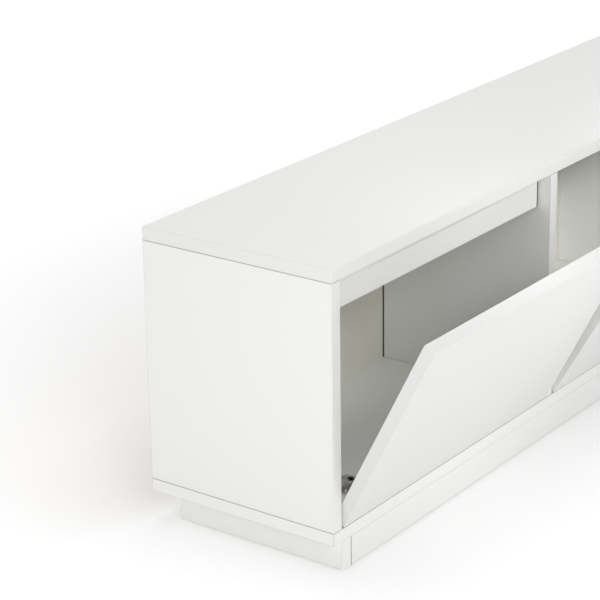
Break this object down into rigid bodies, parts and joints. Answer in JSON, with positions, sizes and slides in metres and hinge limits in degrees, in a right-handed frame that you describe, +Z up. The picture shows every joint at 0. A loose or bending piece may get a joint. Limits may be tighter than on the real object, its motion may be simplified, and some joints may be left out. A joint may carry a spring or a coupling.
{
  "type": "tv stand with drop-down doors",
  "caption": "Low wide television stand on a recessed plinth, with compartments closed by bottom-hinged drop-down flaps and finger gaps in place of handles.",
  "frame": {"origin": "on the floor, at the centre of the carcass, on the face of the middle glide", "axes": "+Z up, front faces -Y, +X to the right as seen from the front"},
  "size_m": [1.62, 0.4509, 0.42],
  "materials": {
    "board": "white matt melamine on chipboard, edge banded",
    "flap_board": "white matt melamine on chipboard, edge banded",
    "back_board": "white painted hardboard",
    "white_plastic": "matt white",
    "bumper": "translucent, soft",
    "beech": "bare beech",
    "zinc": "plain zinc casting",
    "screw_steel": "zinc plated",
    "nickel": "nickel plated",
    "dark_screw": "black oxide",
    "stay_tube": "grey painted",
    "stay_rod": "ground and chromed"
  },
  "bodies": {
    "carcass": {"top_panel": "board", "bottom_panel": "board", "left_side": "board", "right_side": "board", "left_divider": "board", "right_divider": "board", "left_back_panel": "back_board", "middle_back_panel": "back_board", "right_back_panel": "back_board", "left_rail": "board", "right_rail": "board", "plinth_front": "board", "plinth_rear": "board", "plinth_left_end": "board", "plinth_right_end": "board", "plinth_brace": "board", "corner_blocks": "white_plastic", "block_screws": "screw_steel", "glides": "white_plastic", "cam_locks": "zinc", "cam_bolts": "screw_steel", "cam_caps": "white_plastic", "dowels": "beech", "hinge_plates": "nickel", "plate_screws": "screw_steel", "hinge_arms": "nickel", "arm_screws": "dark_screw", "stay_wall_brackets": "screw_steel", "stay_bracket_screws": "screw_steel"},
    "left_flap_body": {"left_flap": "flap_board", "left_bumpers": "bumper", "left_cups": "nickel", "left_flap_screws": "screw_steel", "left_stay_bracket": "screw_steel"},
    "left_swing_body": {"left_swing_links": "nickel"},
    "left_tie_body": {"left_tie_links": "nickel"},
    "left_tube_body": {"left_stay_tube": "stay_tube"},
    "left_rod_body": {"left_stay_rod": "stay_rod"},
    "middle_flap_body": {"middle_flap": "flap_board", "middle_cups": "nickel", "middle_flap_screws": "screw_steel", "middle_stay_bracket": "screw_steel"},
    "middle_swing_body": {"middle_swing_links": "nickel"},
    "middle_tie_body": {"middle_tie_links": "nickel"},
    "middle_tube_body": {"middle_stay_tube": "stay_tube"},
    "middle_rod_body": {"middle_stay_rod": "stay_rod"},
    "right_flap_body": {"right_flap": "flap_board", "right_bumpers": "bumper", "right_cups": "nickel", "right_flap_screws": "screw_steel", "right_stay_bracket": "screw_steel"},
    "right_swing_body": {"right_swing_links": "nickel"},
    "right_tie_body": {"right_tie_links": "nickel"},
    "right_tube_body": {"right_stay_tube": "stay_tube"},
    "right_rod_body": {"right_stay_rod": "stay_rod"}
  },
  "joints": [
    {"name": "left_flap_open", "type": "hinge", "parent": "carcass", "child": "left_flap_body", "pos_m": [-0.534, -0.15, 0.06], "axis": [1, 0, 0], "range_deg": [-26.8, 63.2]},
    {"name": "left_swing_turn", "type": "hinge", "parent": "carcass", "child": "left_swing_body", "pos_m": [-0.534, -0.136, 0.082], "axis": [1, 0, 0], "range_deg": [-26.8, 63.2]},
    {"name": "left_tie_turn", "type": "hinge", "parent": "left_flap_body", "child": "left_tie_body", "pos_m": [-0.534, -0.14943, 0.08326], "axis": [1, 0, 0], "range_deg": [-63.2, 26.8]},
    {"name": "left_tube_turn", "type": "hinge", "parent": "carcass", "child": "left_tube_body", "pos_m": [-0.289, 0.02865, 0.082], "axis": [1, 0, 0], "range_deg": [-13.4, 31.6]},
    {"name": "left_rod_turn", "type": "hinge", "parent": "left_flap_body", "child": "left_rod_body", "pos_m": [-0.289, -0.19935, 0.2331], "axis": [1, 0, 0], "range_deg": [-31.6, 13.4]},
    {"name": "middle_flap_open", "type": "hinge", "parent": "carcass", "child": "middle_flap_body", "pos_m": [0, -0.15, 0.06], "axis": [1, 0, 0], "range_deg": [-29.5, 60.5]},
    {"name": "middle_swing_turn", "type": "hinge", "parent": "carcass", "child": "middle_swing_body", "pos_m": [0, -0.136, 0.082], "axis": [1, 0, 0], "range_deg": [-29.5, 60.5]},
    {"name": "middle_tie_turn", "type": "hinge", "parent": "middle_flap_body", "child": "middle_tie_body", "pos_m": [0, -0.15052, 0.08326], "axis": [1, 0, 0], "range_deg": [-60.5, 29.5]},
    {"name": "middle_tube_turn", "type": "hinge", "parent": "carcass", "child": "middle_tube_body", "pos_m": [0.245, 0.02865, 0.082], "axis": [1, 0, 0], "range_deg": [-14.75, 30.25]},
    {"name": "middle_rod_turn", "type": "hinge", "parent": "middle_flap_body", "child": "middle_rod_body", "pos_m": [0.245, -0.20745, 0.23059], "axis": [1, 0, 0], "range_deg": [-30.25, 14.75]},
    {"name": "right_flap_open", "type": "hinge", "parent": "carcass", "child": "right_flap_body", "pos_m": [0.534, -0.15, 0.06], "axis": [1, 0, 0], "range_deg": [-26.8, 63.2]},
    {"name": "right_swing_turn", "type": "hinge", "parent": "carcass", "child": "right_swing_body", "pos_m": [0.534, -0.136, 0.082], "axis": [1, 0, 0], "range_deg": [-26.8, 63.2]},
    {"name": "right_tie_turn", "type": "hinge", "parent": "right_flap_body", "child": "right_tie_body", "pos_m": [0.534, -0.14943, 0.08326], "axis": [1, 0, 0], "range_deg": [-63.2, 26.8]},
    {"name": "right_tube_turn", "type": "hinge", "parent": "carcass", "child": "right_tube_body", "pos_m": [0.779, 0.02865, 0.082], "axis": [1, 0, 0], "range_deg": [-13.4, 31.6]},
    {"name": "right_rod_turn", "type": "hinge", "parent": "right_flap_body", "child": "right_rod_body", "pos_m": [0.779, -0.19935, 0.2331], "axis": [1, 0, 0], "range_deg": [-31.6, 13.4]}
  ],
  "couplings": [
    {"joint": "left_swing_turn", "follows": "left_flap_open", "ratio": 1},
    {"joint": "left_tie_turn", "follows": "left_flap_open", "ratio": -1},
    {"joint": "left_tube_turn", "follows": "left_flap_open", "ratio": 0.5},
    {"joint": "left_rod_turn", "follows": "left_flap_open", "ratio": -0.5},
    {"joint": "middle_swing_turn", "follows": "middle_flap_open", "ratio": 1},
    {"joint": "middle_tie_turn", "follows": "middle_flap_open", "ratio": -1},
    {"joint": "middle_tube_turn", "follows": "middle_flap_open", "ratio": 0.5},
    {"joint": "middle_rod_turn", "follows": "middle_flap_open", "ratio": -0.5},
    {"joint": "right_swing_turn", "follows": "right_flap_open", "ratio": 1},
    {"joint": "right_tie_turn", "follows": "right_flap_open", "ratio": -1},
    {"joint": "right_tube_turn", "follows": "right_flap_open", "ratio": 0.5},
    {"joint": "right_rod_turn", "follows": "right_flap_open", "ratio": -0.5}
  ]
}
